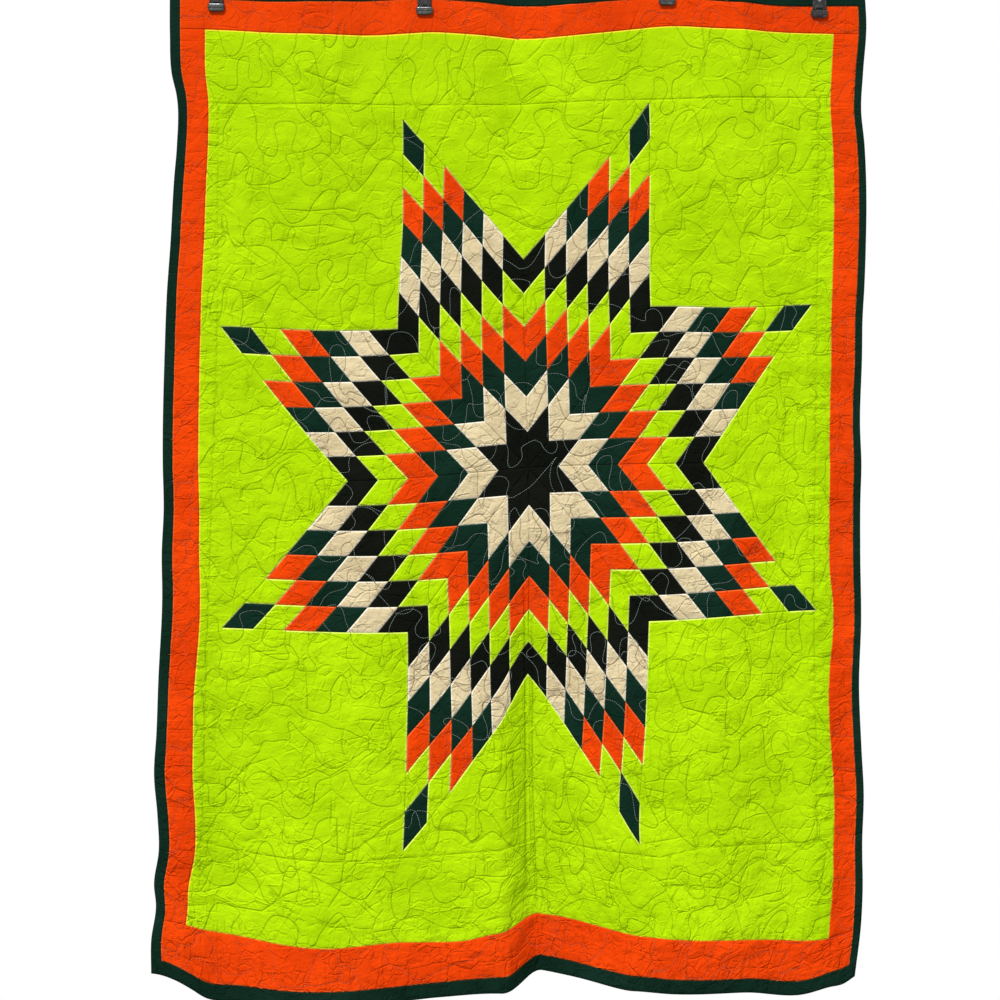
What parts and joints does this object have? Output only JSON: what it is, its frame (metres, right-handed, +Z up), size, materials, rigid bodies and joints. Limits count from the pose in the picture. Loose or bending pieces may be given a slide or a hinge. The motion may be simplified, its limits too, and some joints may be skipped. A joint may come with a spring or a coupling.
{
  "type": "hanging star quilt on pinch clips",
  "caption": "Pieced star quilt with a lime field, orange border and dark green binding, hanging by its top edge from black pinch clips.",
  "frame": {"origin": "middle of the line that the quilt hangs from, at its top edge", "axes": "+Z up along the hanging quilt, +X to the right seen from the front, the pieced face looks along -Y"},
  "size_m": [1.503, 0.083, 2.1777],
  "materials": {
    "star_cloth": "plain woven cotton patchwork, matte",
    "lime_cloth": "plain woven cotton, matte",
    "orange_cloth": "plain woven cotton, matte",
    "green_cloth": "plain woven cotton, matte",
    "black_cloth": "plain woven cotton, matte",
    "cream_cloth": "plain woven cotton, matte",
    "quilting_thread": "spun cotton thread",
    "clip_plastic": "moulded, satin",
    "clip_steel": "bright spring steel"
  },
  "bodies": {
    "root": {"binding_bottom": "green_cloth", "binding_left": "green_cloth", "binding_right": "green_cloth", "binding_top": "green_cloth", "border_bottom": "orange_cloth", "border_left": "orange_cloth", "border_right": "orange_cloth", "border_top": "orange_cloth", "clip_1_back_jaw": "clip_plastic", "clip_1_front_jaw": "clip_plastic", "clip_1_spring": "clip_steel", "clip_2_back_jaw": "clip_plastic", "clip_2_front_jaw": "clip_plastic", "clip_2_spring": "clip_steel", "clip_3_back_jaw": "clip_plastic", "clip_3_front_jaw": "clip_plastic", "clip_3_spring": "clip_steel", "clip_4_back_jaw": "clip_plastic", "clip_4_front_jaw": "clip_plastic", "clip_4_spring": "clip_steel", "corner_square_lower_left": "lime_cloth", "corner_square_lower_right": "lime_cloth", "corner_square_upper_left": "lime_cloth", "corner_square_upper_right": "lime_cloth", "frame_strip_bottom": "lime_cloth", "frame_strip_left": "lime_cloth", "frame_strip_right": "lime_cloth", "frame_strip_top": "lime_cloth", "side_triangle_bottom": "lime_cloth", "side_triangle_left": "lime_cloth", "side_triangle_right": "lime_cloth", "side_triangle_top": "lime_cloth", "star_point_1": "star_cloth", "star_point_2": "star_cloth", "star_point_3": "star_cloth", "star_point_4": "star_cloth", "star_point_5": "star_cloth", "star_point_6": "star_cloth", "star_point_7": "star_cloth", "star_point_8": "star_cloth"}
  },
  "joints": []
}
